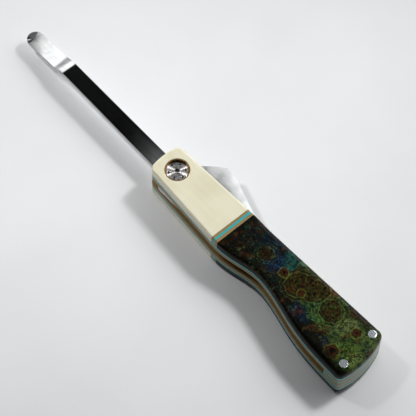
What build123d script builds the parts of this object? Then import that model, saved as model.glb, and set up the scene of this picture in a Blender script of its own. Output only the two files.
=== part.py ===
from build123d import *
from math import atan, degrees, sqrt
import os

os.makedirs("parts", exist_ok=True)

# A friction-folding whittling knife, folded, lying on its lower side. Millimetres.
# +X runs along the handle to the butt, +Y to the handle's straight back, +Z up.
# Every shape is drawn about the pivot's axis, with Z = 0 in the middle of the slot,
# and export moves it so that the origin is under the middle of the folded knife.

# Layers of one side of the handle, from the outside in
scale_thick = 3.7
teal_thick = 0.9
tan_thick = 1.8

# Steel and what it turns between
stock_thick = 2.4
washer_thick = 0.6
side_play = 0.05

# Handle outline
front_reach = 8.3
front_radius = 30.0
front_crown_y = 0.8
front_corner = 3.0
back_front_y = 7.4
back_butt_y = 12.0
butt_reach = 100.7
butt_radius = 32.0
butt_crown_y = -2.5
butt_corner = 2.4
belly_front_y = -7.1
shoulder_x = 30.0
shoulder_y = -9.0
waist_x = 49.5
waist_y = -5.95
flank_x = 72.5
flank_y = -9.6
swell_x = 93.0
swell_y = -11.3
bolster_round = 1.0
burl_round = 2.2

# Bolster, inlay stripes and burl follow one another along the handle
bolster_reach = 29.3
tan_inlay = 1.1
teal_inlay = 0.8

# Spacer and pins at the butt
spacer_length = 8.5
spacer_teal = 0.8
spacer_strip = 0.8
pin_dia = 3.2
pin_from_butt = 3.5
pin_from_back = 3.25
pin_from_belly = 4.5

# Pivot
recess_dia = 9.5
collar_wall = 0.4
collar_below = 0.3
head_below = 1.0
head_gap = 0.05
barrel_dia = 4.8
running_gap = 0.04
shank_dia = 3.0
shank_spacing = 0.9
socket_flats = 2.0
socket_depth = 1.3
spanner_holes = 6
spanner_dia = 0.95
spanner_radius = 3.15
spanner_depth = 1.2
washer_dia = 12.0
snug = 0.02

# Blade: its cutting edge, heel and spine
heel_x = 9.0
heel_y = 18.65
choil_angle = 47.0
choil_fillet = 3.0
tip_x = 76.0
tip_y = -2.6
bevel_width = 5.2
edge_thick = 0.1
tab_y = -7.25
tab_front_x = -2.5
tab_rear_x = 5.5
tab_step = 2.6
tab_fillet = 1.2

# Tang bar, its double bend and its paddle
bar_centre_y = 0.45
bar_root_width = 7.1
bar_bend_width = 6.5
bend_reach = 63.3
bend_length = 7.5
bend_drop = 2.0
paddle_reach = 87.8
paddle_width = 6.8
paddle_thick = 1.4
paddle_drop = 3.2

slot_half = stock_thick / 2 + washer_thick + side_play
tan_top = slot_half + tan_thick
teal_top = tan_top + teal_thick
scale_top = teal_top + scale_thick
tan_front_x = bolster_reach
teal_front_x = tan_front_x + tan_inlay
tan_rear_x = teal_front_x + teal_inlay
burl_front_x = tan_rear_x + tan_inlay
far = butt_reach + paddle_reach


def butt_x(y):
    return butt_reach - butt_radius + sqrt(butt_radius**2 - (y - butt_crown_y) ** 2)


def front_x(y):
    return front_radius - front_reach - sqrt(front_radius**2 - (y - front_crown_y) ** 2)


def handle_outline():
    """Straight back, arched butt, swelling belly with a finger waist, arched front."""
    front_back = (front_x(back_front_y), back_front_y)
    butt_back = (butt_x(back_butt_y), back_butt_y)
    butt_belly = (butt_x(swell_y), swell_y)
    front_belly = (front_x(belly_front_y), belly_front_y)
    shoulder = (shoulder_x, shoulder_y)
    straight_belly = Vector(shoulder) - Vector(front_belly)
    wire = Wire(
        [
            Line(front_back, butt_back),
            ThreePointArc(butt_back, (butt_reach, butt_crown_y), butt_belly),
            Line(butt_belly, (swell_x, swell_y)),
            Spline(
                [(swell_x, swell_y), (flank_x, flank_y), (waist_x, waist_y), shoulder],
                tangents=[(-1, 0), straight_belly * -1],
            ),
            Line(shoulder, front_belly),
            ThreePointArc(front_belly, (-front_reach, front_crown_y), front_back),
        ]
    )
    corners = Face(wire).vertices().sort_by(Axis.X)
    rounded = Face(wire).fillet_2d(front_corner, corners[:2])
    butt_corners = rounded.vertices().sort_by(Axis.X)[-2:]
    return rounded.fillet_2d(butt_corner, butt_corners)


outline = handle_outline()


def plate(face, low_z, high_z):
    """A flat face, drawn on XY, as a plate between two heights."""
    return extrude(Plane.XY.offset(low_z) * face, high_z - low_z, dir=(0, 0, 1))


def layer(low_z, high_z):
    return plate(outline, low_z, high_z)


def between(solid, low_x, high_x):
    """The stretch of a solid that lies between two places along the handle."""
    slab = Box(high_x - low_x, far, far).moved(Location(((low_x + high_x) / 2, 0, 0)))
    return solid & slab


def side_with_round(radius):
    """The outer layer of the upper side, its top edge rounded all the way about."""
    side = layer(teal_top, scale_top)
    return fillet(side.faces().sort_by(Axis.Z)[-1].edges(), radius)


def disc(dia, low_z, high_z, x=0, y=0):
    middle = Location((x, y, (low_z + high_z) / 2))
    return Cylinder(dia / 2, high_z - low_z).moved(middle)


def pin_places():
    """One pin near each corner of the butt, set in from the butt's arc."""
    slope = (back_butt_y - back_front_y) / (butt_x(back_butt_y) - front_x(back_front_y))
    near_back_x = butt_x(back_butt_y - pin_from_back) - pin_from_butt
    back_y = back_front_y + slope * (near_back_x - front_x(back_front_y))
    belly_pin_y = swell_y + pin_from_belly
    return {
        "back": (near_back_x, back_y - pin_from_back),
        "belly": (butt_x(belly_pin_y) - pin_from_butt, belly_pin_y),
    }


def drilled(solid, dia):
    for x, y in pin_places().values():
        solid = solid - disc(dia, -far, far, x, y)
    return solid


def outer_pieces():
    """Bolster, three inlay stripes and burl scale of the upper side."""
    crisp = side_with_round(bolster_round)
    soft = side_with_round(burl_round)
    bolster = between(crisp, -far, tan_front_x) - disc(recess_dia, -far, far)
    burl = between(soft, burl_front_x, far)
    return {
        "bolster": bolster,
        "inlay_tan_front": between(crisp, tan_front_x, teal_front_x),
        "inlay_teal": between(crisp, teal_front_x, tan_rear_x),
        "inlay_tan_rear": between(crisp, tan_rear_x, burl_front_x),
        "burl_scale": drilled(burl, pin_dia + 2 * snug),
    }


def liners():
    barrel_hole = disc(barrel_dia + 2 * snug, -far, far)
    pin_hole_dia = pin_dia + 2 * snug
    return {
        "tan_liner": drilled(layer(slot_half, tan_top) - barrel_hole, pin_hole_dia),
        "teal_liner": drilled(layer(tan_top, teal_top) - barrel_hole, pin_hole_dia),
    }


def pivot_screw():
    """Recessed head with a ring of spanner holes and a hex socket, and its shank."""
    head_dia = recess_dia - 2 * collar_wall - 2 * head_gap
    head_top = scale_top - head_below
    screw = disc(head_dia, teal_top, head_top)
    screw += disc(shank_dia, shank_spacing / 2, teal_top)
    socket = RegularPolygon(socket_flats / 2, 6, major_radius=False)
    screw -= plate(socket, head_top - socket_depth, head_top)
    hole = disc(spanner_dia, head_top - spanner_depth, head_top, spanner_radius)
    for index in range(spanner_holes):
        screw -= hole.rotate(Axis.Z, index * 360 / spanner_holes)
    return screw


def pivot_pieces():
    collar_top = scale_top - collar_below
    collar = disc(recess_dia - 2 * snug, teal_top, collar_top)
    collar -= disc(recess_dia - 2 * collar_wall, teal_top, collar_top)
    washer_top = slot_half
    washer = disc(washer_dia, washer_top - washer_thick, washer_top)
    washer -= disc(barrel_dia + 2 * snug, washer_top - washer_thick, washer_top)
    return {
        "pivot_collar": collar,
        "pivot_screw": pivot_screw(),
        "washer": washer,
    }


def pivot_barrel():
    barrel = disc(barrel_dia, -teal_top, teal_top)
    return barrel - disc(shank_dia + 2 * snug, -teal_top, teal_top)


def butt_spacer():
    """Teal, tan and teal between the liners, closed in front by a teal strip."""
    front = butt_reach - spacer_length
    core_half = slot_half - spacer_teal
    hole = pin_dia + 2 * snug
    strip = between(layer(-slot_half, slot_half), front, front + spacer_strip)
    core = between(layer(-core_half, core_half), front + spacer_strip, far)
    upper = between(layer(core_half, slot_half), front + spacer_strip, far)
    return {
        "spacer_front_strip": drilled(strip, hole),
        "spacer_core": drilled(core, hole),
        "spacer_teal_upper": drilled(upper, hole),
        "spacer_teal_lower": drilled(mirror(upper, about=Plane.XY), hole),
    }


def butt_pins():
    """Pins through the whole handle, ground off level with the rounded burl."""
    side = side_with_round(burl_round)
    handle = side + layer(-teal_top, teal_top) + mirror(side, about=Plane.XY)
    pins = {}
    for name, (x, y) in pin_places().items():
        pins["butt_pin_" + name] = disc(pin_dia, -scale_top, scale_top, x, y) & handle
    return pins


def edge_angle():
    return degrees(atan((tip_y - heel_y) / (tip_x - heel_x)))


def blade_plan():
    """Bar, plate round the pivot and blade, seen from above, without the paddle's end."""
    choil = Vector(1, 0).rotate(Axis.Z, choil_angle)
    root_back = bar_centre_y + bar_root_width / 2
    root_belly = bar_centre_y - bar_root_width / 2
    choil_root = Vector(heel_x, heel_y) - choil * ((heel_y - root_back) / choil.Y)
    points = [
        (-bend_reach, bar_centre_y + bar_bend_width / 2),
        (choil_root.X, root_back),
        (heel_x, heel_y),
        (tip_x, tip_y),
        (tab_rear_x, tab_y),
        (tab_front_x, tab_y),
        (tab_front_x - tab_step, root_belly),
        (-bend_reach, bar_centre_y - bar_bend_width / 2),
    ]
    plan = Face(Wire.make_polygon(points, close=True))
    by_x = {round(vertex.X, 3): vertex for vertex in plan.vertices()}
    plan = plan.fillet_2d(choil_fillet, [by_x[round(choil_root.X, 3)]])
    by_x = {round(vertex.X, 3): vertex for vertex in plan.vertices()}
    steps = [by_x[round(tab_front_x, 3)], by_x[round(tab_front_x - tab_step, 3)]]
    return plan.fillet_2d(tab_fillet, steps)


def blade():
    half = stock_thick / 2
    flat = plate(blade_plan(), -half, half)
    lean = (half - edge_thick / 2) / bevel_width
    over = 2.0
    section = Face(
        Wire.make_polygon(
            [
                (-bevel_width, half),
                (over, edge_thick / 2 - lean * over),
                (over, half + over),
                (-bevel_width, half + over),
            ],
            close=True,
        )
    )
    along_edge = Plane(
        origin=(heel_x, heel_y, 0),
        x_dir=Vector(0, 1).rotate(Axis.Z, edge_angle()),
        z_dir=Vector(1, 0).rotate(Axis.Z, edge_angle()),
    )
    wedge = extrude(along_edge * section, far, both=True)
    return flat - wedge - mirror(wedge, about=Plane.XY)


def paddle():
    """Strip beyond the bend: it drops, thins and ends in a full round."""
    half = stock_thick / 2
    bend_end = -bend_reach - bend_length
    end_top = half - paddle_drop
    bend_top = half - bend_drop
    thinned = (stock_thick + paddle_thick) / 2
    slope = (paddle_drop - bend_drop) / (paddle_reach - bend_reach - bend_length)
    top = Spline(
        [(-bend_reach, half), (bend_end, bend_top), (-paddle_reach, end_top)],
        tangents=[(-1, 0), (-1, -1.5 * slope), (-1, 0)],
    )
    bottom = Spline(
        [(-paddle_reach, end_top - paddle_thick), (bend_end, bend_top - thinned), (-bend_reach, -half)],
        tangents=[(1, 0), (1, 1.5 * slope), (1, 0)],
    )
    side = Face(
        Wire(
            [
                top,
                Line(top @ 1, bottom @ 0),
                bottom,
                Line(bottom @ 1, top @ 0),
            ]
        )
    )
    strip = extrude(Plane.XZ * side, far, both=True)
    wide = paddle_width / 2
    bend = bar_bend_width / 2
    round_x = -paddle_reach + wide
    plan = Face(
        Wire(
            [
                Line((-bend_reach, -bend), (-bend_reach, bend)),
                Line((-bend_reach, bend), (bend_end, wide)),
                Line((bend_end, wide), (round_x, wide)),
                ThreePointArc((round_x, wide), (-paddle_reach, 0), (round_x, -wide)),
                Line((round_x, -wide), (bend_end, -wide)),
                Line((bend_end, -wide), (-bend_reach, -bend)),
            ]
        )
    )
    return strip & plate(plan, -far, far).moved(Location((0, bar_centre_y, 0)))


def blade_and_tang():
    bore = disc(barrel_dia + 2 * running_gap, -far, far)
    return blade() + paddle() - bore


def both_sides(pieces):
    pairs = {}
    for name, solid in pieces.items():
        pairs[name + "_upper"] = solid
        pairs[name + "_lower"] = mirror(solid, about=Plane.XY)
    return pairs


middle_x = (butt_reach - paddle_reach) / 2
middle_y = (heel_y + swell_y) / 2
to_origin = Location((-middle_x, -middle_y, scale_top))

nodes = {
    "blade_and_tang": blade_and_tang(),
    "pivot_barrel": pivot_barrel(),
    **both_sides(outer_pieces()),
    **both_sides(liners()),
    **both_sides(pivot_pieces()),
    **butt_spacer(),
    **butt_pins(),
}

if __name__ == "__main__":
    for name, solid in nodes.items():
        export_step(solid.moved(to_origin), f"parts/{name}.step")
    print(len(nodes), "nodes; the pivot is at", round(-middle_x, 3), round(-middle_y, 3))
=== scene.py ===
import math

import bmesh
import bpy
from mathutils import Matrix, Vector


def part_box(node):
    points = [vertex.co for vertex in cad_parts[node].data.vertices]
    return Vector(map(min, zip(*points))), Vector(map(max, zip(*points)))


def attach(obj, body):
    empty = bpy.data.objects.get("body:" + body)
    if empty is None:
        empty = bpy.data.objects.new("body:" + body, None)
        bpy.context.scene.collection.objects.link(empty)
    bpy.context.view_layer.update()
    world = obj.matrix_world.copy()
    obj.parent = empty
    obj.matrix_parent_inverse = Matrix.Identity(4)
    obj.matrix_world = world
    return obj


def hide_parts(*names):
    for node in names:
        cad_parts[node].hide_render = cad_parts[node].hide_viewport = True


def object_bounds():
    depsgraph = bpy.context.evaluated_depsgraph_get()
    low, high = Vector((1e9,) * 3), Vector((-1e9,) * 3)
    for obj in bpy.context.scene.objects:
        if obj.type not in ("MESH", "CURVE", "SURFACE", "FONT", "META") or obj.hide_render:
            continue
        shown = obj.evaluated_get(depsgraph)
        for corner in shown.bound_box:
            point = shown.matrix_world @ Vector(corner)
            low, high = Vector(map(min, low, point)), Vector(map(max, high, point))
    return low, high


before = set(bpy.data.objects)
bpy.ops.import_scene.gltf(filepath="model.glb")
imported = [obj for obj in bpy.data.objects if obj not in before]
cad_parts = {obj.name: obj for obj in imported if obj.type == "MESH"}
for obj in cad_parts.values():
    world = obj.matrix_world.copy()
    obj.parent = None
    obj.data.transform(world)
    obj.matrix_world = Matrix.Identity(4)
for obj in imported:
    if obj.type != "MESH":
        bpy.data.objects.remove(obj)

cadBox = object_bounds()
mm = 0.001


def middleOf(nodeName):
    low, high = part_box(nodeName)
    return (low + high) / 2


pivot = middleOf("pivot_barrel")
bpy.ops.object.select_all(action="DESELECT")
print("stage: frame loaded, pivot at", [round(n / mm, 2) for n in pivot], "mm")


def colour(sRgbHex):
    channels = [int(sRgbHex[place:place + 2], 16) / 255 for place in (1, 3, 5)]
    linear = [c / 12.92 if c <= 0.04045 else ((c + 0.055) / 1.055) ** 2.4 for c in channels]
    return (*linear, 1.0)


def addNode(tree, kind, settings=None):
    # a setting is a socket to link from, an input's value, a ramp's stops or the node's own property
    node = tree.nodes.new(kind)
    for name, value in (settings or {}).items():
        if isinstance(value, bpy.types.NodeSocket):
            tree.links.new(value, node.inputs[name])
        elif name == "stops":
            elements = node.color_ramp.elements
            while len(elements) < len(value):
                elements.new(1.0)
            for element, (place, sRgbHex) in zip(elements, value):
                element.position = place
                element.color = colour(sRgbHex)
        elif isinstance(name, int) or name in node.inputs:
            node.inputs[name].default_value = value
        else:
            setattr(node, name, value)
    return node


def newFinish(name, settings):
    # a material whose shader has these settings, the same all over
    finish = bpy.data.materials.new(name)
    finish.use_nodes = True
    shader = finish.node_tree.nodes["Principled BSDF"]
    for socket, value in settings.items():
        shader.inputs[socket].default_value = value
    return finish, finish.node_tree, shader


def fromPivot(tree):
    # the piece's own coordinates in millimetres, counted from the pivot's axis at mid thickness
    own = addNode(tree, "ShaderNodeTexCoord")
    shifted = addNode(tree, "ShaderNodeMapping", {
        "Vector": own.outputs["Object"],
        "Location": [-n / mm for n in pivot],
        "Scale": (1 / mm, 1 / mm, 1 / mm),
    })
    return shifted.outputs["Vector"]


smooth = {"interpolation_type": "SMOOTHSTEP"}

ivoryLook = {
    "light": "#EAE6CD", "dark": "#E1DCBF",
    "grain": 1.3,        # mm between growth lines
    "ripple": 0.012,     # mm, how far polishing leaves the surface from flat
    "gloss": 0.18,       # roughness where it is best polished
}


def polishedIvoryResin():
    # cast ivory substitute, buffed: a soft cream with faint lengthwise growth lines and a clean sheen
    finish, tree, shader = newFinish("polished ivory resin", {
        "IOR": 1.54, "Subsurface Weight": 0.15, "Subsurface Radius": (1.0, 0.8, 0.5),
        "Subsurface Scale": 0.8 * mm, "Coat Weight": 0.6, "Coat Roughness": 0.04,
    })
    place = fromPivot(tree)
    across = 1 / ivoryLook["grain"]
    grainPlace = addNode(tree, "ShaderNodeMapping", {"Vector": place, "Scale": (0.05, across, across)})
    grain = addNode(tree, "ShaderNodeTexNoise", {
        "Vector": grainPlace.outputs["Vector"], "Scale": 1.0, "Detail": 2.0, "Distortion": 0.3})
    cloud = addNode(tree, "ShaderNodeTexNoise", {"Vector": place, "Scale": 0.09, "Detail": 2.0})
    both = addNode(tree, "ShaderNodeMix", {0: 0.6, 2: grain.outputs["Fac"], 3: cloud.outputs["Fac"]})
    tone = addNode(tree, "ShaderNodeValToRGB", {
        "Fac": both.outputs[0], "stops": [(0.35, ivoryLook["dark"]), (0.6, ivoryLook["light"])]})
    tree.links.new(tone.outputs["Color"], shader.inputs["Base Color"])
    ripple = addNode(tree, "ShaderNodeTexNoise", {"Vector": place, "Scale": 0.35, "Detail": 1.0})
    bump = addNode(tree, "ShaderNodeBump", {
        "Height": ripple.outputs["Fac"], "Strength": 0.3, "Distance": ivoryLook["ripple"] * mm})
    tree.links.new(bump.outputs["Normal"], shader.inputs["Normal"])
    wear = addNode(tree, "ShaderNodeMapRange", {
        "Value": cloud.outputs["Fac"], "To Min": ivoryLook["gloss"], "To Max": ivoryLook["gloss"] + 0.12})
    tree.links.new(wear.outputs["Result"], shader.inputs["Roughness"])
    return finish


laminateLook = {
    "ply": 0.22,         # mm between the cloth plies of a laminate
    "thread": 0.45,      # mm between threads, coarser than real so that it shows
    "bands": 3,          # a wave texture of scale 1 draws about this many bands to a millimetre
    "relief": 0.01,      # mm that the plies stand out on a cut edge
}


def clothLaminate(name, light, dark, roughness):
    # pressed cloth and resin: fine ply lines on cut edges, a thread mottle on faces, an oiled polish
    finish, tree, shader = newFinish(name, {"IOR": 1.5, "Coat Weight": 0.25, "Coat Roughness": 0.15})
    place = fromPivot(tree)
    plies = addNode(tree, "ShaderNodeTexWave", {
        "bands_direction": "Z", "Vector": place, "Scale": 1 / laminateLook["ply"] / laminateLook["bands"],
        "Distortion": 1.5, "Detail": 2.0, "Detail Scale": 2.0})
    threads = addNode(tree, "ShaderNodeTexNoise", {
        "Vector": place, "Scale": 1 / laminateLook["thread"], "Detail": 2.0})
    both = addNode(tree, "ShaderNodeMix", {0: 0.55, 2: plies.outputs["Fac"], 3: threads.outputs["Fac"]})
    tone = addNode(tree, "ShaderNodeValToRGB", {
        "Fac": both.outputs[0], "stops": [(0.25, dark), (0.7, light)]})
    tree.links.new(tone.outputs["Color"], shader.inputs["Base Color"])
    bump = addNode(tree, "ShaderNodeBump", {
        "Height": both.outputs[0], "Strength": 0.25, "Distance": laminateLook["relief"] * mm})
    tree.links.new(bump.outputs["Normal"], shader.inputs["Normal"])
    wear = addNode(tree, "ShaderNodeMapRange", {
        "Value": threads.outputs["Fac"], "To Min": roughness - 0.05, "To Max": roughness + 0.1})
    tree.links.new(wear.outputs["Result"], shader.inputs["Roughness"])
    return finish


steelLook = {
    "light": "#DEE0E0", "dark": "#C6C9C9",
    "line": 0.2,             # mm between brush lines, coarser than real so that they show
    "lineLength": 18.0,      # mm
    "depth": 0.0006,         # mm
    "polished": 0.08,        # roughness out along the bar, and by the bolster where the wheel can't reach
    "satin": 0.3,
    "satinFrom": -31.0, "satinTo": 7.0,     # mm along the handle from the pivot
    "stray": 34.0,           # mm, how far single lines of the satin run past the others
    "bladeFrom": 9.0, "bladeTo": 17.0,      # mm from the pivot towards the cutting edge
    "bladeStray": 8.0,       # mm, how far stains push the dull part to and fro
    "bladePolished": 0.3, "bladeDull": 0.42,    # roughness by the bolster, and where stones dulled it
}


def satinKnifeSteel():
    # stainless strip, belt-finished lengthwise: near-mirror out along the bar, coarser by the bolster,
    # where hairlines smear what the flat mirrors, and dull and mottled towards the cutting edge
    finish, tree, shader = newFinish("satin knife steel", {"Metallic": 1.0, "Anisotropic": 0.5})
    place = fromPivot(tree)
    linePlace = addNode(tree, "ShaderNodeMapping", {
        "Vector": place, "Scale": (1 / steelLook["lineLength"], 1 / steelLook["line"], 0.4)})
    lines = addNode(tree, "ShaderNodeTexNoise", {
        "Vector": linePlace.outputs["Vector"], "Scale": 1.0, "Detail": 4.0, "Roughness": 0.6})
    stain = addNode(tree, "ShaderNodeTexNoise", {"Vector": place, "Scale": 0.25, "Detail": 4.0})
    worked = addNode(tree, "ShaderNodeMix", {0: 0.6, 2: lines.outputs["Fac"], 3: stain.outputs["Fac"]})
    shade = addNode(tree, "ShaderNodeValToRGB", {
        "Fac": worked.outputs[0], "stops": [(0.38, steelLook["dark"]), (0.58, steelLook["light"])]})
    tree.links.new(shade.outputs["Color"], shader.inputs["Base Color"])
    apart = addNode(tree, "ShaderNodeSeparateXYZ", {"Vector": place})
    onBlade = addNode(tree, "ShaderNodeMapRange", {
        **smooth, "Value": apart.outputs["Y"], "From Min": steelLook["bladeFrom"] - 1.0,
        "From Max": steelLook["bladeFrom"]})
    relief = addNode(tree, "ShaderNodeMapRange", {
        "Value": onBlade.outputs["Result"], "To Min": 0.5, "To Max": 0.15})
    bump = addNode(tree, "ShaderNodeBump", {
        "Height": lines.outputs["Fac"], "Strength": relief.outputs["Result"],
        "Distance": steelLook["depth"] * mm})
    tree.links.new(bump.outputs["Normal"], shader.inputs["Normal"])
    strayed = addNode(tree, "ShaderNodeMath", {
        "operation": "MULTIPLY_ADD", 0: lines.outputs["Fac"], 1: steelLook["stray"],
        2: apart.outputs["X"]})
    barWear = addNode(tree, "ShaderNodeMapRange", {
        **smooth, "Value": strayed.outputs[0],
        "From Min": steelLook["satinFrom"] + steelLook["stray"] / 2,
        "From Max": steelLook["satinTo"] + steelLook["stray"] / 2,
        "To Min": steelLook["polished"], "To Max": steelLook["satin"]})
    towardsEdge = addNode(tree, "ShaderNodeMath", {
        "operation": "MULTIPLY_ADD", 0: stain.outputs["Fac"], 1: steelLook["bladeStray"],
        2: apart.outputs["Y"]})
    bladeWear = addNode(tree, "ShaderNodeMapRange", {
        **smooth, "Value": towardsEdge.outputs[0],
        "From Min": steelLook["bladeFrom"] + steelLook["bladeStray"] / 2,
        "From Max": steelLook["bladeTo"] + steelLook["bladeStray"] / 2,
        "To Min": steelLook["bladePolished"], "To Max": steelLook["bladeDull"]})
    wear = addNode(tree, "ShaderNodeMix", {
        0: onBlade.outputs["Result"], 2: barWear.outputs["Result"], 3: bladeWear.outputs["Result"]})
    tree.links.new(wear.outputs[0], shader.inputs["Roughness"])
    across = addNode(tree, "ShaderNodeVectorTransform", {
        "vector_type": "VECTOR", "convert_from": "OBJECT", "convert_to": "WORLD",
        "Vector": (0.0, 1.0, 0.0)})
    tree.links.new(across.outputs["Vector"], shader.inputs["Tangent"])
    return finish


def turnedPolishedSteel():
    # lathe-turned stainless: rings too fine to see, which draw lights out into fans across the head
    finish, tree, shader = newFinish("turned polished steel", {
        "Metallic": 1.0, "Anisotropic": 1.0, "Anisotropic Rotation": 0.25})
    place = fromPivot(tree)
    handling = addNode(tree, "ShaderNodeTexNoise", {"Vector": place, "Scale": 1.1, "Detail": 3.0})
    tone = addNode(tree, "ShaderNodeValToRGB", {
        "Fac": handling.outputs["Fac"], "stops": [(0.35, "#8F877C"), (0.6, "#CFD0D2")]})
    tree.links.new(tone.outputs["Color"], shader.inputs["Base Color"])
    wear = addNode(tree, "ShaderNodeMapRange", {
        "Value": handling.outputs["Fac"], "To Min": 0.26, "To Max": 0.32})
    tree.links.new(wear.outputs["Result"], shader.inputs["Roughness"])
    around = addNode(tree, "ShaderNodeTangent", {"direction_type": "RADIAL", "axis": "Z"})
    tree.links.new(around.outputs["Tangent"], shader.inputs["Tangent"])
    return finish


def buffedPinRod():
    # nickel-silver rod, sanded and buffed with the handle: bright, a little blue, with cross scratches
    finish, tree, shader = newFinish("buffed nickel silver", {"Metallic": 1.0})
    place = fromPivot(tree)
    scratchPlace = addNode(tree, "ShaderNodeMapping", {"Vector": place, "Scale": (0.1, 5.0, 1.0)})
    scratches = addNode(tree, "ShaderNodeTexNoise", {
        "Vector": scratchPlace.outputs["Vector"], "Scale": 2.5, "Detail": 4.0})
    tone = addNode(tree, "ShaderNodeValToRGB", {
        "Fac": scratches.outputs["Fac"], "stops": [(0.3, "#BAC4CC"), (0.7, "#D2D9DD")]})
    tree.links.new(tone.outputs["Color"], shader.inputs["Base Color"])
    wear = addNode(tree, "ShaderNodeMapRange", {
        "Value": scratches.outputs["Fac"], "To Min": 0.18, "To Max": 0.34})
    tree.links.new(wear.outputs["Result"], shader.inputs["Roughness"])
    return finish


def agedCopperAlloy(name, light, dark, roughness):
    # copper alloy left as machined: warm, dulled by handling, with darker tarnish in patches
    finish, tree, shader = newFinish(name, {"Metallic": 1.0, "Roughness": roughness})
    tarnish = addNode(tree, "ShaderNodeTexNoise", {
        "Vector": fromPivot(tree), "Scale": 0.9, "Detail": 4.0})
    tone = addNode(tree, "ShaderNodeValToRGB", {
        "Fac": tarnish.outputs["Fac"], "stops": [(0.35, dark), (0.6, light)]})
    tree.links.new(tone.outputs["Color"], shader.inputs["Base Color"])
    return finish


burlLook = {
    # all places are x and y in mm from the pivot
    "clusters": [(47.2, 1.6, 3.0), (63.8, 1.8, 4.6), (69.2, 5.2, 5.2), (79.4, 3.7, 4.3)],     # and radius
    "eyes": [(57.0, 1.2, 1.6), (67.2, 0.6, 1.3), (91.5, 4.6, 1.6), (90.7, -6.6, 2.1)],        # and radius
    # where a dye pooled: place, reach in mm, colour and how strongly it took
    "pools": [
        (39.0, -4.0, 8.0, "#190C05", 0.7), (40.0, 5.5, 7.0, "#0B2428", 0.85),
        (44.5, -1.5, 5.5, "#0A1F1B", 0.8),
        (46.5, 6.8, 5.0, "#0A2A42", 0.9), (52.3, 2.8, 5.5, "#0B3358", 0.95),
        (50.4, 7.8, 2.4, "#2C170B", 0.8), (57.2, 8.2, 5.2, "#1C5F54", 0.9),
        (60.5, 9.0, 3.0, "#6C9A5C", 0.5), (56.0, -5.0, 7.0, "#0D1109", 0.8),
        (66.5, 4.0, 9.5, "#3B3E12", 0.9), (62.0, -7.0, 6.0, "#0C1009", 0.8),
        (74.6, 8.8, 4.0, "#6E4014", 0.9), (73.2, -5.8, 4.4, "#08213C", 1.0),
        (75.2, -0.4, 4.2, "#41703F", 0.85), (81.5, -3.2, 3.6, "#5E4A1A", 0.75),
        (80.0, 4.0, 8.0, "#4C6A2C", 0.85), (89.5, 1.0, 8.5, "#44592A", 0.9),
        (86.6, 4.6, 4.5, "#7C8C52", 0.6), (86.2, -6.7, 2.4, "#0A2436", 0.9),
        (96.0, -3.0, 7.0, "#4E6A28", 0.85), (99.5, -3.0, 4.0, "#7E9450", 0.6),
        (96.5, 7.0, 5.0, "#567238", 0.75),
    ],
    "swirl": 8.0,        # mm, how far the large swirls carry the dyes
    "curl": 2.6,         # mm, how far the small curls carry the figure
    "feather": 1.6,      # mm, how far the border of a dye frays
    "growthLines": 80.0,    # radians of line wave over the whole range of the noise they follow
    "ringLines": 21.0,   # radians of ring wave to a cluster's radius
    "bellyPaintedShade": (-5.0, -10.5),     # y where the painted shade on the belly side, which faces away from the lamps, starts and is full
    "frontDark": (62.0, 34.0),      # x where the front's darkness starts and is full
    "bud": 1.55,         # mm between the buds of a cluster
    "pinKnot": 1.3,      # mm between the pin knots outside the clusters
    "relief": 0.01,      # mm of polish ripple
}


def carried(tree, place, scale, reach, detail):
    # the same place pushed about by up to half this reach, so that what is drawn there swirls
    push = addNode(tree, "ShaderNodeTexNoise", {"Vector": place, "Scale": scale, "Detail": detail})
    even = addNode(tree, "ShaderNodeVectorMath", {
        "operation": "SUBTRACT", 0: push.outputs["Color"], 1: (0.5, 0.5, 0.5)})
    moved = addNode(tree, "ShaderNodeVectorMath", {
        "operation": "MULTIPLY_ADD", 0: even.outputs[0], 1: (reach, reach, reach), 2: place})
    return moved.outputs[0]


def nearest(tree, place, spots):
    # 0 at the middle of the nearest spot and 1 at its rim
    share = None
    for x, y, radius in spots:
        away = addNode(tree, "ShaderNodeMapping", {
            "Vector": place, "Location": (-x / radius, -y / radius, 0.0),
            "Scale": (1 / radius, 1 / radius, 0.1 / radius)})
        far = addNode(tree, "ShaderNodeVectorMath", {
            "operation": "LENGTH", 0: away.outputs["Vector"]}).outputs["Value"]
        if share is None:
            share = far
        else:
            share = addNode(tree, "ShaderNodeMath", {
                "operation": "SMOOTH_MIN", 0: share, 1: far, 2: 0.15}).outputs[0]
    return share


def painted(tree, ground, layers):
    # lays each layer's colour over the ground: the value that masks it, where the mask starts and is
    # full, how strong it gets, and the colour
    for value, start, full, strength, over in layers:
        mask = addNode(tree, "ShaderNodeMapRange", {
            **smooth, "Value": value, "From Min": start, "From Max": full, "To Max": strength})
        paint = addNode(tree, "ShaderNodeMix", {
            "data_type": "RGBA", 0: mask.outputs["Result"], 6: ground,
            7: colour(over) if isinstance(over, str) else over})
        ground = paint.outputs[2]
    return ground


def pooledDyes(tree, place):
    # the ground colours: near-black wood with the dyes laid where they pooled
    base = addNode(tree, "ShaderNodeTexNoise", {
        "Vector": place, "Scale": 0.35, "Detail": 5.0, "Roughness": 0.7})
    ground = addNode(tree, "ShaderNodeValToRGB", {
        "Fac": base.outputs["Fac"], "stops": [(0.4, "#050604"), (0.55, "#0D1008"), (0.66, "#2A1608")]})
    layers = [(nearest(tree, place, [(x, y, reach)]), 1.15, 0.45, strength, dye)
              for x, y, reach, dye, strength in burlLook["pools"]]
    return painted(tree, ground.outputs["Color"], layers)


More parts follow.
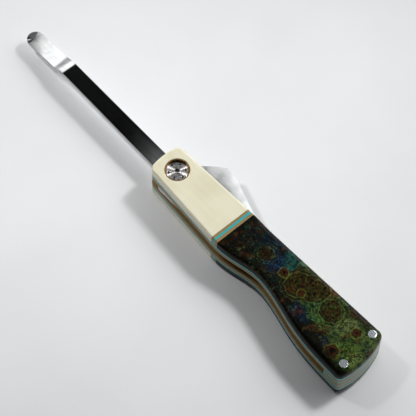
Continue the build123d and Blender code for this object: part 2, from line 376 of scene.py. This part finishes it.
def dyedBurl():
    # stabilised maple burl dyed blue, green and brown under a high polish: bud clusters ringed by
    # growth lines, dye pooled between them in swirls, black pin knots, and a wet, glassy surface
    finish, tree, shader = newFinish("dyed stabilised burl", {
        "Roughness": 0.35, "IOR": 1.5, "Specular IOR Level": 0.05,
        "Coat Weight": 0.3, "Coat IOR": 1.36, "Coat Roughness": 0.05,
    })
    place = fromPivot(tree)
    curled = carried(tree, place, 0.45, burlLook["curl"], 3.0)
    swirled = carried(tree, curled, 0.12, burlLook["swirl"], 2.0)
    body = pooledDyes(tree, carried(tree, swirled, 0.9, burlLook["feather"], 4.0))

    # streaks that follow the swirls: light and dark grain, rust, and growth lines strong only in patches
    grain = addNode(tree, "ShaderNodeTexNoise", {
        "Vector": swirled, "Scale": 0.6, "Detail": 6.0, "Roughness": 0.7}).outputs["Fac"]
    rust = addNode(tree, "ShaderNodeTexNoise", {
        "noise_dimensions": "4D", "Vector": swirled, "W": 3.0, "Scale": 0.3, "Detail": 5.0,
        "Roughness": 0.7}).outputs["Fac"]
    patch = addNode(tree, "ShaderNodeTexNoise", {
        "Vector": place, "Scale": 0.22, "Detail": 2.0}).outputs["Fac"]
    drift = addNode(tree, "ShaderNodeTexNoise", {
        "Vector": swirled, "Scale": 0.16, "Detail": 2.0, "Roughness": 0.4}).outputs["Fac"]
    growth = addNode(tree, "ShaderNodeMath", {
        "operation": "MULTIPLY", 0: drift, 1: burlLook["growthLines"]})
    growthLine = addNode(tree, "ShaderNodeMath", {"operation": "SINE", 0: growth.outputs[0]}).outputs[0]
    strong = addNode(tree, "ShaderNodeMapRange", {
        **smooth, "Value": patch, "From Min": 0.38, "From Max": 0.6}).outputs["Result"]
    drawn = addNode(tree, "ShaderNodeMath", {
        "operation": "MULTIPLY", 0: growthLine, 1: strong}).outputs[0]
    fleck = addNode(tree, "ShaderNodeTexNoise", {
        "noise_dimensions": "4D", "Vector": swirled, "W": 9.0, "Scale": 1.1, "Detail": 4.0}).outputs["Fac"]
    body = painted(tree, body, [
        (fleck, 0.52, 0.62, 0.65, "#134039"),
        (fleck, 0.45, 0.38, 0.45, "#4A270B"),
        (rust, 0.52, 0.62, 0.6, "#542C0E"),
        (grain, 0.56, 0.68, 0.4, "#66783A"),
        (drawn, 0.5, 0.9, 0.7, "#060503"),
        (drawn, -0.75, -1.0, 0.22, "#7E7434"),
        (grain, 0.6, 0.38, 0.85, "#070804"),
    ])

    # clusters: green ground in rust, buds with black hearts, and growth rings spreading round them
    uneven = addNode(tree, "ShaderNodeTexNoise", {
        "Vector": place, "Scale": 0.5, "Detail": 3.0}).outputs["Fac"]
    clusterFar = nearest(tree, curled, burlLook["clusters"])
    cluster = addNode(tree, "ShaderNodeMath", {
        "operation": "MULTIPLY_ADD", 0: uneven, 1: 1.4, 2: clusterFar}).outputs[0]
    ringWave = addNode(tree, "ShaderNodeMath", {
        "operation": "MULTIPLY_ADD", 0: clusterFar, 1: burlLook["ringLines"], 2: uneven})
    ringLine = addNode(tree, "ShaderNodeMath", {"operation": "SINE", 0: ringWave.outputs[0]}).outputs[0]
    ringZone = addNode(tree, "ShaderNodeMapRange", {
        **smooth, "Value": clusterFar, "From Min": 2.1, "From Max": 1.0}).outputs["Result"]
    rings = addNode(tree, "ShaderNodeMath", {
        "operation": "MULTIPLY", 0: ringLine, 1: ringZone}).outputs[0]
    buds = addNode(tree, "ShaderNodeTexVoronoi", {
        "Vector": curled, "Scale": 1 / burlLook["bud"], "Randomness": 0.95}).outputs["Distance"]
    clusterGround = painted(tree, colour("#272C0C"), [
        (rust, 0.47, 0.62, 0.8, "#43260A"),
        (grain, 0.56, 0.68, 0.5, "#66743A"),
        (ringLine, 0.3, 0.95, 0.6, "#0D0B05"),
        (grain, 0.52, 0.4, 0.85, "#070502"),
        (buds, 0.58, 0.42, 0.6, "#4A290B"),
        (buds, 0.46, 0.3, 1.0, "#040201"),
    ])
    body = painted(tree, body, [
        (rings, 0.1, 0.8, 0.6, "#0C0D07"),
        (rings, -0.35, -0.95, 0.22, "#6E8A42"),
        (cluster, 1.85, 1.5, 0.9, clusterGround),
    ])

    # single eyes: a black heart in a rust ring, a dark rim and a pale one outside it
    eyeFar = nearest(tree, curled, burlLook["eyes"])
    body = painted(tree, body, [
        (eyeFar, 1.7, 1.35, 0.35, "#76752E"),
        (eyeFar, 1.35, 1.1, 0.85, "#120803"),
        (eyeFar, 1.0, 0.85, 0.9, "#4C240C"),
        (eyeFar, 0.88, 0.55, 1.0, "#040201"),
    ])

    # pin knots, then a near-black painted shade along the belly side, which faces away from the lamps, and
    # darker towards the front
    knots = addNode(tree, "ShaderNodeTexVoronoi", {
        "Vector": curled, "Scale": 1 / burlLook["pinKnot"]}).outputs["Distance"]
    ownPlace = addNode(tree, "ShaderNodeSeparateXYZ", {"Vector": curled})
    body = painted(tree, body, [
        (knots, 0.36, 0.18, 0.8, "#050302"),
        # painted shade: near-black laid over the belly side by its distance from the middle
        (ownPlace.outputs["Y"], *burlLook["bellyPaintedShade"], 0.9, "#040503"),
        (ownPlace.outputs["X"], *burlLook["frontDark"], 0.4, "#040403"),
    ])
    tree.links.new(body, shader.inputs["Base Color"])
    ripple = addNode(tree, "ShaderNodeTexNoise", {"Vector": place, "Scale": 0.3, "Detail": 2.0})
    bump = addNode(tree, "ShaderNodeBump", {
        "Height": ripple.outputs["Fac"], "Strength": 0.15, "Distance": burlLook["relief"] * mm})
    tree.links.new(bump.outputs["Normal"], shader.inputs["Coat Normal"])
    return finish


finishes = {
    "knife_steel": satinKnifeSteel(),
    "polished_steel": turnedPolishedSteel(),
    "brass_collar": agedCopperAlloy("machined brass", "#B98F4E", "#7A5628", 0.3),
    "bronze_washer": agedCopperAlloy("phosphor bronze", "#B0764A", "#70452A", 0.35),
    "ivory_resin": polishedIvoryResin(),
    "teal_laminate": clothLaminate("teal cloth laminate", "#12B4BC", "#0B98A2", 0.32),
    "tan_laminate": clothLaminate("tan canvas laminate", "#9C8450", "#7A6338", 0.4),
    "dyed_burl": dyedBurl(),
    "pins": buffedPinRod(),
}
print("stage: finishes made")


modelling = {
    "sameSpot": 0.002 * mm,      # corners closer than this are one
    "flatWithin": 0.2,           # degrees between faces that are parts of one flat face
    "sharp": 30.0,               # degrees between faces that meet in an edge to be broken
    "shadeWithin": 32.0,         # degrees between faces that shade as one
    "onTop": 0.01 * mm,          # closer than this to the top counts as on it
    "onRim": 0.02 * mm,          # closer than this to a hole's rim counts as on it
}


def workOn(piece):
    bpy.ops.object.select_all(action="DESELECT")
    piece.select_set(True)
    bpy.context.view_layer.objects.active = piece


def copyOfNode(nodeName, pieceName):
    # a CAD node's mesh with its seams merged and its flat faces made whole, ready for edit mode
    piece = bpy.data.objects.new(pieceName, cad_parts[nodeName].data.copy())
    bpy.context.scene.collection.objects.link(piece)
    workOn(piece)
    bpy.ops.object.mode_set(mode="EDIT")
    bpy.ops.mesh.select_mode(type="FACE")
    bpy.ops.mesh.select_all(action="SELECT")
    bpy.ops.mesh.remove_doubles(threshold=modelling["sameSpot"])
    bpy.ops.mesh.dissolve_limited(angle_limit=math.radians(modelling["flatWithin"]))
    bpy.ops.object.mode_set(mode="OBJECT")
    return piece


def twin(piece, pieceName):
    made = bpy.data.objects.new(pieceName, piece.data.copy())
    bpy.context.scene.collection.objects.link(made)
    return made


def selectWhere(kind, keep):
    # in edit mode: selects just the faces, edges or verts for which keep says yes
    bpy.ops.mesh.select_mode(type={"faces": "FACE", "edges": "EDGE", "verts": "VERT"}[kind])
    bpy.ops.mesh.select_all(action="DESELECT")
    shape = bmesh.from_edit_mesh(bpy.context.edit_object.data)
    for item in getattr(shape, kind):
        if keep(item):
            item.select_set(True)
    shape.select_flush_mode()
    bmesh.update_edit_mesh(bpy.context.edit_object.data)


def sharpEdge(edge):
    return len(edge.link_faces) == 2 and edge.calc_face_angle(0) > math.radians(modelling["sharp"])


def applied(piece, kind, **settings):
    # gives the piece a modifier with these settings and makes its result the mesh
    workOn(piece)
    modifier = piece.modifiers.new(kind.lower(), kind)
    for name, value in settings.items():
        setattr(modifier, name, value)
    bpy.ops.object.modifier_apply(modifier=modifier.name)


def breakEdges(piece, width):
    # a small round on every sharp edge, as a wheel or a file leaves it
    applied(piece, "BEVEL", width=width, segments=2, limit_method="ANGLE",
            angle_limit=math.radians(modelling["sharp"]), use_clamp_overlap=False)


def done(piece, body, slotName, finishName, *nodes):
    # the last steps of every piece: its shading, its finish, and what it stands for
    workOn(piece)
    bpy.ops.object.shade_smooth_by_angle(angle=math.radians(modelling["shadeWithin"]))
    applied(piece, "WEIGHTED_NORMAL", keep_sharp=True, weight=90)
    piece.data.materials.clear()
    piece.data.materials.append(finishes[finishName])
    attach(piece, body)
    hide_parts(*nodes)


def cutAway(piece, radius, x, y, low, high, sides=64):
    # drills a round hole through the piece between two heights
    bpy.ops.object.select_all(action="DESELECT")
    bpy.ops.mesh.primitive_cylinder_add(vertices=sides, radius=radius, depth=high - low,
                                        location=(x, y, (low + high) / 2))
    drill = bpy.context.active_object
    bpy.ops.object.transform_apply(location=True, rotation=True, scale=True)
    applied(piece, "BOOLEAN", operation="DIFFERENCE", object=drill, solver="EXACT")
    bpy.data.objects.remove(drill)


def mirrored(piece, pieceName):
    # the same piece on the lower side, turned over about mid thickness
    made = twin(piece, pieceName)
    workOn(made)
    bpy.ops.object.mode_set(mode="EDIT")
    bpy.ops.mesh.select_all(action="SELECT")
    bpy.ops.transform.resize(value=(1, 1, -1), center_override=(0, 0, pivot.z))
    bpy.ops.mesh.normals_make_consistent(inside=False)
    bpy.ops.object.mode_set(mode="OBJECT")
    return made


side = {
    "bolsterRound": 1.0 * mm,
    "burlRound": 2.3 * mm,
    "roundGrows": 9.0 * mm,      # the burl's round grows from the bolster's over this stretch
    "roundSteps": 8,
    "longestEdge": 1.2 * mm,
    "probe": 0.5 * mm,           # how far to step aside to tell which way is inward
    "endMargin": 0.1 * mm,       # an end this close to the whole side's end isn't sawn
    "recessRim": 0.3 * mm,
    "recessSides": 96,
    "pinRoom": 0.02 * mm,
}


def linerRim(liner, pieceName):
    # only the outer rim of a liner's upper face, evenly divided, with its own holes left out
    piece = copyOfNode(liner, pieceName)
    bpy.ops.object.mode_set(mode="EDIT")
    selectWhere("faces", lambda face: face.normal.z < 0.9)
    bpy.ops.mesh.delete(type="FACE")
    rim = [edge for edge in bmesh.from_edit_mesh(piece.data).edges if edge.is_boundary]
    outer = set()
    waiting = [min(rim, key=lambda edge: edge.verts[0].co.x)]
    while waiting:
        edge = waiting.pop()
        if edge not in outer:
            outer.add(edge)
            waiting += [near for vert in edge.verts for near in vert.link_edges if near.is_boundary]
    outerPlaces = {edge.index for edge in outer}
    selectWhere("edges", lambda edge: edge.index not in outerPlaces)
    bpy.ops.mesh.delete(type="EDGE_FACE")
    selectWhere("verts", lambda vert: not vert.link_edges)
    bpy.ops.mesh.delete(type="VERT")
    bpy.ops.mesh.select_all(action="SELECT")
    bpy.ops.mesh.delete(type="ONLY_FACE")
    while any(edge.calc_length() > side["longestEdge"]
              for edge in bmesh.from_edit_mesh(piece.data).edges):
        selectWhere("edges", lambda edge: edge.calc_length() > side["longestEdge"])
        bpy.ops.mesh.subdivide(number_cuts=1)
    return piece


def roundAt(x, burlStart):
    # the radius of the top edge's round at a place along the handle
    share = min(max((x - burlStart) / side["roundGrows"], 0.0), 1.0)
    share = share * share * (3 - 2 * share)
    return side["bolsterRound"] + share * (side["burlRound"] - side["bolsterRound"])


def handleSide():
    # the whole upper side in one, from bolster to butt: its rim is drawn up and in, step by step, so
    # that the round on its top edge grows along it
    low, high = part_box("bolster_upper")
    burlLow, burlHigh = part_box("burl_scale_upper")
    middle = Vector(((low.x + burlHigh.x) / 2, pivot.y, 0))
    whole = linerRim("teal_liner_upper", "handleSide")
    shape = bmesh.from_edit_mesh(whole.data)
    mark = shape.verts.layers.int.new("rimPlace")
    start, inward = [], []
    for count, vert in enumerate(shape.verts):
        vert[mark] = count
        near = [edge.other_vert(vert).co for edge in vert.link_edges]
        along = (near[0] - near[1]).normalized()
        aside = Vector((-along.y, along.x, 0))
        probe = vert.co + aside * side["probe"]
        start.append(vert.co.copy())
        inward.append(aside if (probe - middle).xy.length < (vert.co - middle).xy.length else -aside)
    bmesh.update_edit_mesh(whole.data)
    steps = side["roundSteps"]
    bpy.ops.mesh.select_all(action="SELECT")
    for step in range(steps + 1):
        bpy.ops.mesh.extrude_edges_move(TRANSFORM_OT_translate={"value": (0, 0, 0)})
        turn = step / steps * math.pi / 2
        shape = bmesh.from_edit_mesh(whole.data)
        mark = shape.verts.layers.int["rimPlace"]
        for vert in shape.verts:
            if vert.select:
                place = vert[mark]
                radius = roundAt(start[place].x, burlLow.x)
                reach = radius * (1 - math.cos(turn))
                vert.co = start[place] + inward[place] * reach
                vert.co.z = high.z - radius * (1 - math.sin(turn))
        bmesh.update_edit_mesh(whole.data)
    bpy.ops.mesh.edge_face_add()
    selectWhere("edges", lambda edge: edge.is_boundary)
    bpy.ops.mesh.edge_face_add()
    bpy.ops.mesh.select_all(action="SELECT")
    bpy.ops.mesh.normals_make_consistent(inside=False)
    bpy.ops.object.mode_set(mode="OBJECT")
    return whole


def sawn(whole, pieceName, node):
    # the stretch of the side that lies within a node's own ends
    low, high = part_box(node)
    piece = twin(whole, pieceName)
    workOn(piece)
    bpy.ops.object.mode_set(mode="EDIT")
    wholeLow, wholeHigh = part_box("teal_liner_upper")
    if low.x > wholeLow.x + side["endMargin"]:
        bpy.ops.mesh.select_all(action="SELECT")
        bpy.ops.mesh.bisect(plane_co=(low.x, 0, 0), plane_no=(1, 0, 0), use_fill=True,
                            clear_inner=True)
    if high.x < wholeHigh.x - side["endMargin"]:
        bpy.ops.mesh.select_all(action="SELECT")
        bpy.ops.mesh.bisect(plane_co=(high.x, 0, 0), plane_no=(1, 0, 0), use_fill=True,
                            clear_outer=True)
    bpy.ops.object.mode_set(mode="OBJECT")
    return piece


def handleSides():
    # the bolster, the three stripes and the burl, sawn from one side so that they run on smoothly
    whole = handleSide()
    made = {
        "inlay_tan_front": (sawn(whole, "inlayTanFront", "inlay_tan_front_upper"), "tan_laminate"),
        "inlay_teal": (sawn(whole, "inlayTeal", "inlay_teal_upper"), "teal_laminate"),
        "inlay_tan_rear": (sawn(whole, "inlayTanRear", "inlay_tan_rear_upper"), "tan_laminate"),
    }
    low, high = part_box("pivot_collar_upper")
    bolster = sawn(whole, "bolster", "bolster_upper")
    recess = (high.x - low.x) / 2 + side["pinRoom"]
    cutAway(bolster, recess, pivot.x, pivot.y, low.z - mm, high.z + 2 * mm, side["recessSides"])
    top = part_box("bolster_upper")[1].z
    bpy.ops.object.mode_set(mode="EDIT")
    selectWhere("edges", lambda edge: all(
        vert.co.z > top - modelling["onTop"]
        and abs((vert.co - pivot).xy.length - recess) < modelling["onRim"] for vert in edge.verts))
    bpy.ops.mesh.bevel(offset=side["recessRim"], segments=4, clamp_overlap=False)
    bpy.ops.object.mode_set(mode="OBJECT")
    made["bolster"] = (bolster, "ivory_resin")
    burl = sawn(whole, "burlScale", "burl_scale_upper")
    for pinName in ("butt_pin_back", "butt_pin_belly"):
        low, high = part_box(pinName)
        middle = middleOf(pinName)
        radius = (high.x - low.x) / 2 + side["pinRoom"]
        cutAway(burl, radius, middle.x, middle.y, pivot.z, high.z + 2 * mm)
    made["burl_scale"] = (burl, "dyed_burl")
    for node, (piece, slotName) in made.items():
        below = mirrored(piece, piece.name + "Lower")
        piece.name = piece.name + "Upper"
        done(piece, "handle", slotName, slotName, node + "_upper")
        done(below, "handle", slotName, slotName, node + "_lower")
    bpy.data.objects.remove(whole)


handleSides()
print("stage: handle sides shaped and sawn")


laminateEdge = 0.04 * mm     # round left on the edges by sanding
laminates = {
    "tealLinerUpper": ("teal_liner_upper", "teal_laminate"),
    "tealLinerLower": ("teal_liner_lower", "teal_laminate"),
    "tanLinerUpper": ("tan_liner_upper", "tan_laminate"),
    "tanLinerLower": ("tan_liner_lower", "tan_laminate"),
    "spacerFrontStrip": ("spacer_front_strip", "teal_laminate"),
    "spacerCore": ("spacer_core", "tan_laminate"),
    "spacerTealUpper": ("spacer_teal_upper", "teal_laminate"),
    "spacerTealLower": ("spacer_teal_lower", "teal_laminate"),
}

for pieceName, (node, slotName) in laminates.items():
    piece = copyOfNode(node, pieceName)
    breakEdges(piece, laminateEdge)
    done(piece, "handle", slotName, slotName, node)
print("stage: liners and spacer")


pinEdge = 0.06 * mm
for pieceName, node in (("buttPinBack", "butt_pin_back"), ("buttPinBelly", "butt_pin_belly")):
    piece = copyOfNode(node, pieceName)
    breakEdges(piece, pinEdge)
    done(piece, "handle", "polished_steel", "pins", node)
print("stage: butt pins")


screw = {
    "rim": 0.25 * mm, "rimMargin": 0.05 * mm, "sides": 96, "shankRadius": 1.5 * mm,
    "socketFlats": 2.0 * mm, "socketDepth": 1.3 * mm, "socketSides": 6,
    "holes": 6, "holeRadius": 0.475 * mm, "holeRing": 3.15 * mm, "holeDepth": 1.2 * mm,
    "holeRim": 0.07 * mm, "holeSides": 32,
}


def pivotScrew():
    # head turned from bar, chamfered, drilled for a pin spanner and broached for a hex key
    low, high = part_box("pivot_screw_upper")
    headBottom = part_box("bolster_upper")[0].z
    radius = (high.x - low.x) / 2
    bpy.ops.object.select_all(action="DESELECT")
    bpy.ops.mesh.primitive_cylinder_add(vertices=screw["sides"], radius=radius, depth=high.z - headBottom,
                                        location=(pivot.x, pivot.y, (high.z + headBottom) / 2))
    piece = bpy.context.active_object
    piece.name = "pivotScrew"
    bpy.ops.object.transform_apply(location=True, rotation=True, scale=True)
    bpy.ops.object.mode_set(mode="EDIT")
    selectWhere("edges", lambda edge: all(
        vert.co.z > high.z - modelling["onTop"] for vert in edge.verts))
    bpy.ops.mesh.bevel(offset=screw["rim"], segments=3)
    selectWhere("faces", lambda face: face.normal.z < -0.9)
    bpy.ops.mesh.inset(thickness=radius - screw["shankRadius"])
    bpy.ops.mesh.extrude_region_move(TRANSFORM_OT_translate={"value": (0, 0, low.z - headBottom)})
    bpy.ops.object.mode_set(mode="OBJECT")
    for turn in range(screw["holes"]):
        angle = turn * 2 * math.pi / screw["holes"]
        x = pivot.x + screw["holeRing"] * math.cos(angle)
        y = pivot.y + screw["holeRing"] * math.sin(angle)
        cutAway(piece, screw["holeRadius"], x, y, high.z - screw["holeDepth"], high.z + mm,
                screw["holeSides"])
    corner = screw["socketFlats"] / 2 / math.cos(math.pi / screw["socketSides"])
    cutAway(piece, corner, pivot.x, pivot.y, high.z - screw["socketDepth"], high.z + mm,
            screw["socketSides"])
    bpy.ops.object.mode_set(mode="EDIT")
    inner = radius - screw["rim"] - screw["rimMargin"]
    selectWhere("edges", lambda edge: sharpEdge(edge) and all(
        vert.co.z > high.z - modelling["onTop"] and (vert.co - pivot).xy.length < inner
        for vert in edge.verts))
    bpy.ops.mesh.bevel(offset=screw["holeRim"], segments=2, clamp_overlap=False)
    bpy.ops.object.mode_set(mode="OBJECT")
    return piece


upperScrew = pivotScrew()
lowerScrew = mirrored(upperScrew, "pivotScrewLower")
upperScrew.name = "pivotScrewUpper"
done(upperScrew, "handle", "polished_steel", "polished_steel", "pivot_screw_upper")
done(lowerScrew, "handle", "polished_steel", "polished_steel", "pivot_screw_lower")

collarEdge = 0.08 * mm
for pieceName, level in (("pivotCollarUpper", "upper"), ("pivotCollarLower", "lower")):
    node = "pivot_collar_" + level
    piece = copyOfNode(node, pieceName)
    breakEdges(piece, collarEdge)
    done(piece, "handle", "brass_collar", "brass_collar", node)

for node, finishName in (("washer_upper", "bronze_washer"), ("washer_lower", "bronze_washer"),
                         ("pivot_barrel", "polished_steel")):
    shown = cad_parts[node]
    shown.data.materials.clear()
    shown.data.materials.append(finishes[finishName])
print("stage: pivot hardware")


steel = {
    "edgeBreak": 0.08 * mm,      # a flat chamfer, as a file leaves it
    "keenHalf": 0.1 * mm,        # the cutting edge is thinner than this each side of the middle
    "boreRadius": 3.0 * mm,      # edges this close to the pivot are the bore's
}


def bladeAndTang():
    # every sharp edge is broken, but for the cutting edge and the bore
    piece = copyOfNode("blade_and_tang", "bladeAndTang")
    bpy.ops.object.mode_set(mode="EDIT")
    shape = bmesh.from_edit_mesh(piece.data)
    weight = shape.edges.layers.float.new("bevel_weight_edge")
    for edge in shape.edges:
        keen = all(abs(vert.co.z - pivot.z) < steel["keenHalf"] for vert in edge.verts)
        bore = all((vert.co - pivot).xy.length < steel["boreRadius"] for vert in edge.verts)
        edge[weight] = 1.0 if sharpEdge(edge) and not keen and not bore else 0.0
    bmesh.update_edit_mesh(piece.data)
    bpy.ops.object.mode_set(mode="OBJECT")
    applied(piece, "BEVEL", width=steel["edgeBreak"], segments=1, limit_method="WEIGHT",
            use_clamp_overlap=False)
    done(piece, "blade", "knife_steel", "knife_steel", "blade_and_tang")


bladeAndTang()
print("stage: blade and tang")


room = {
    "paper": "#EAEBEC", "shade": "#E4E5E7",
    "size": 6.0,             # m
    "gap": 0.01 * mm,        # keeps the paper just clear of the knife
}


def paperFloor():
    # matt white paper, barely mottled
    finish, tree, shader = newFinish("matt white paper", {"Roughness": 0.7, "Specular IOR Level": 0.2})
    fibre = addNode(tree, "ShaderNodeTexNoise", {"Vector": fromPivot(tree), "Scale": 0.02, "Detail": 4.0})
    tone = addNode(tree, "ShaderNodeValToRGB", {
        "Fac": fibre.outputs["Fac"], "stops": [(0.3, room["shade"]), (0.7, room["paper"])]})
    tree.links.new(tone.outputs["Color"], shader.inputs["Base Color"])
    bpy.ops.object.select_all(action="DESELECT")
    bpy.ops.mesh.primitive_plane_add(size=room["size"], location=(0, 0, cadBox[0].z - room["gap"]))
    floor = bpy.context.active_object
    floor.name = "paperFloor"
    bpy.ops.object.transform_apply(location=True, rotation=True, scale=True)
    floor.data.materials.append(finish)


lamps = {
    # heading from +Y towards +X and height in degrees, distance in m, width and height in m, radiance
    "softbox": {"heading": 4.0, "height": 46.0, "distance": 0.75, "size": (0.5, 0.22), "radiance": 1.15},
    # the two spots: aim from the pivot in m, lamp radius in m, beam in degrees, watts
    "buttSpot": {"heading": 4.0, "height": 60.0, "distance": 0.62, "aim": (0.1, 0.06, 0.0),
                 "radius": 0.055, "beam": 52.0, "watts": 7.9},
    "tipSpot": {"heading": -118.0, "height": 62.0, "distance": 0.62, "aim": (-0.1, -0.03, 0.0),
                "radius": 0.05, "beam": 37.0, "watts": 8.0},
}

sky = {
    # colours by the sine of the height above the horizon. Behind: a grey wall, a white sweep and the
    # dark room above it. In front: grey low down, then black
    "behind": [(0.3, "#8A8A8C"), (0.45, "#FFFFFF"), (0.735, "#FFFFFF"), (0.805, "#030303"),
               (1.0, "#030303")],
    "inFront": [(0.0, "#7C7C7E"), (0.12, "#545456"), (0.35, "#1A1A1B"), (0.6, "#050505")],
    "strength": 1.5,
    "turn": 22.0,        # degrees, how far the white sweep's middle is turned from +Y towards -X
}


def placeLamp(name, light, look, aim):
    turn, rise = math.radians(look["heading"]), math.radians(look["height"])
    toLamp = Vector((math.sin(turn) * math.cos(rise), math.cos(turn) * math.cos(rise), math.sin(rise)))
    lamp = bpy.data.objects.new(name, light)
    lamp.location = aim + toLamp * look["distance"]
    lamp.rotation_euler = (-toLamp).to_track_quat("-Z", "Y").to_euler()
    bpy.context.scene.collection.objects.link(lamp)


def studioLight():
    look = lamps["softbox"]
    light = bpy.data.lights.new("softbox", "AREA")
    light.shape = "RECTANGLE"
    light.size, light.size_y = look["size"]
    light.energy = look["radiance"] * math.pi * light.size * light.size_y     # watts
    placeLamp("softbox", light, look, pivot)
    for name in ("buttSpot", "tipSpot"):
        look = lamps[name]
        light = bpy.data.lights.new(name, "SPOT")
        light.energy = look["watts"]
        light.shadow_soft_size = look["radius"]
        light.spot_size = math.radians(look["beam"])
        light.spot_blend = 1.0
        placeLamp(name, light, look, pivot + Vector(look["aim"]))


def paleRoom():
    # what the steel mirrors, joined smoothly from the half behind to the half in front
    world = bpy.data.worlds.new("pale room")
    bpy.context.scene.world = world
    world.use_nodes = True
    tree = world.node_tree
    toSky = addNode(tree, "ShaderNodeTexCoord").outputs["Generated"]
    height = addNode(tree, "ShaderNodeSeparateXYZ", {"Vector": toSky}).outputs["Z"]
    behind = addNode(tree, "ShaderNodeValToRGB", {"Fac": height, "stops": sky["behind"]})
    inFront = addNode(tree, "ShaderNodeValToRGB", {"Fac": height, "stops": sky["inFront"]})
    turn = math.radians(sky["turn"])
    backness = addNode(tree, "ShaderNodeVectorMath", {
        "operation": "DOT_PRODUCT", 0: toSky, 1: (-math.sin(turn), math.cos(turn), 0.0)})
    share = addNode(tree, "ShaderNodeMapRange", {
        **smooth, "Value": backness.outputs["Value"], "From Max": 0.3})
    both = addNode(tree, "ShaderNodeMix", {
        "data_type": "RGBA", 0: share.outputs["Result"], 6: inFront.outputs["Color"],
        7: behind.outputs["Color"]})
    background = tree.nodes["Background"]
    tree.links.new(both.outputs[2], background.inputs["Color"])
    background.inputs["Strength"].default_value = sky["strength"]


camera = {
    # azimuth from -Y towards +X, elevation above the paper, and roll about the line of sight
    "azimuth": 47.2, "elevation": 60.88, "roll": 1.98,       # degrees
    "distance": 0.7352,                       # m from the spot it looks at
    "aim": (16.08 * mm, 1.125 * mm, 0.0),     # that spot, from the pivot
    "lens": 173.1, "sensor": 36.0,            # both in mm
    "clip": (0.01, 20.0),                     # m
}


def studioCamera():
    turn, rise = math.radians(camera["azimuth"]), math.radians(camera["elevation"])
    back = Vector((math.sin(turn) * math.cos(rise), -math.cos(turn) * math.cos(rise), math.sin(rise)))
    lens = bpy.data.cameras.new("studioCamera")
    lens.lens, lens.sensor_width = camera["lens"], camera["sensor"]
    lens.clip_start, lens.clip_end = camera["clip"]
    eye = bpy.data.objects.new("studioCamera", lens)
    turned = (Matrix.Rotation(turn, 4, "Z") @ Matrix.Rotation(math.pi / 2 - rise, 4, "X")
              @ Matrix.Rotation(math.radians(camera["roll"]), 4, "Z"))
    eyePlace = pivot + Vector(camera["aim"]) + back * camera["distance"]
    eye.matrix_world = Matrix.Translation(eyePlace) @ turned
    bpy.context.scene.collection.objects.link(eye)
    bpy.context.scene.camera = eye


paperFloor()
studioLight()
paleRoom()
studioCamera()
bpy.context.scene.view_settings.view_transform = "Standard"
print("stage: floor, light and camera")
